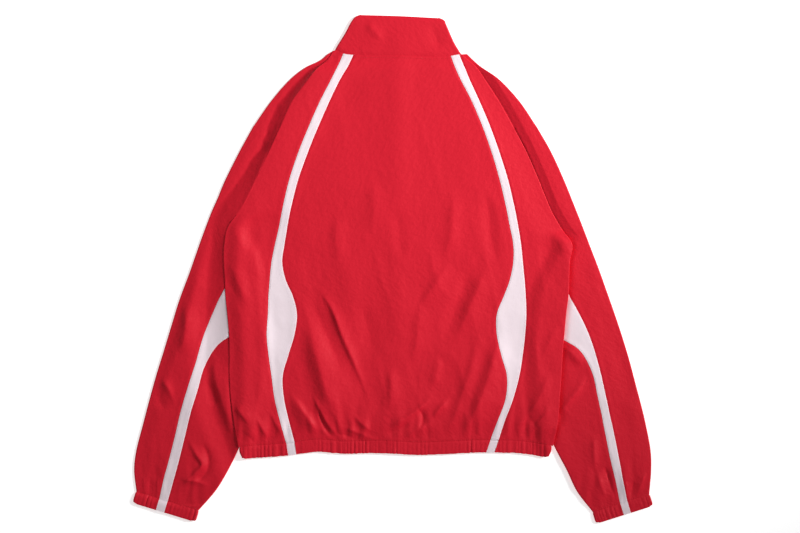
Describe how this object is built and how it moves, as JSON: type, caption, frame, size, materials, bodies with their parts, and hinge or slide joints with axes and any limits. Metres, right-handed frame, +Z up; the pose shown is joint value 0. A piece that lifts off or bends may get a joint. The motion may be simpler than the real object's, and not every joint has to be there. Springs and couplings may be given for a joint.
{
  "type": "track jacket",
  "caption": "Red track jacket laid flat on its front: stand collar, white panel tapes on the back, white sleeve inserts, elastic cuffs and hem, full-length zip beneath.",
  "frame": {"origin": "on the floor, under the middle of the laid-out jacket", "axes": "+Z up from the floor through the front and out of the back, +Y from the hem to the collar, +X to the right as the back is looked at"},
  "size_m": [0.8852, 0.866, 0.0096],
  "materials": {
    "shell_red": "plain-woven nylon with a slight sheen",
    "insert_white": "matt woven polyester",
    "zip_tape": "matt woven tape",
    "zip_teeth": "moulded, satin",
    "zip_metal": "painted, satin"
  },
  "bodies": {
    "jacket": {"back_centre": "shell_red", "back_tape_left": "insert_white", "back_side_left": "shell_red", "front_left": "shell_red", "sleeve_upper_left": "shell_red", "sleeve_under_left": "shell_red", "sleeve_insert_left": "insert_white", "cuff_left": "shell_red", "back_tape_right": "insert_white", "back_side_right": "shell_red", "front_right": "shell_red", "sleeve_upper_right": "shell_red", "sleeve_under_right": "shell_red", "sleeve_insert_right": "insert_white", "cuff_right": "shell_red", "hem_back_centre": "shell_red", "hem_back_left": "shell_red", "hem_front_left": "shell_red", "hem_back_right": "shell_red", "hem_front_right": "shell_red", "collar_back": "shell_red", "collar_front_left": "shell_red", "collar_front_right": "shell_red", "zip_tape_left": "zip_tape", "zip_tape_right": "zip_tape", "zip_chain": "zip_teeth", "zip_slider": "zip_metal"},
    "zip_pull": {"zip_pull_tab": "zip_metal"}
  },
  "joints": [
    {"name": "pull_tab_hinge", "type": "hinge", "parent": "jacket", "child": "zip_pull", "pos_m": [0.01105, 0.36996, 0.0011], "axis": [1, 0, 0], "range_deg": [0, 160]}
  ]
}
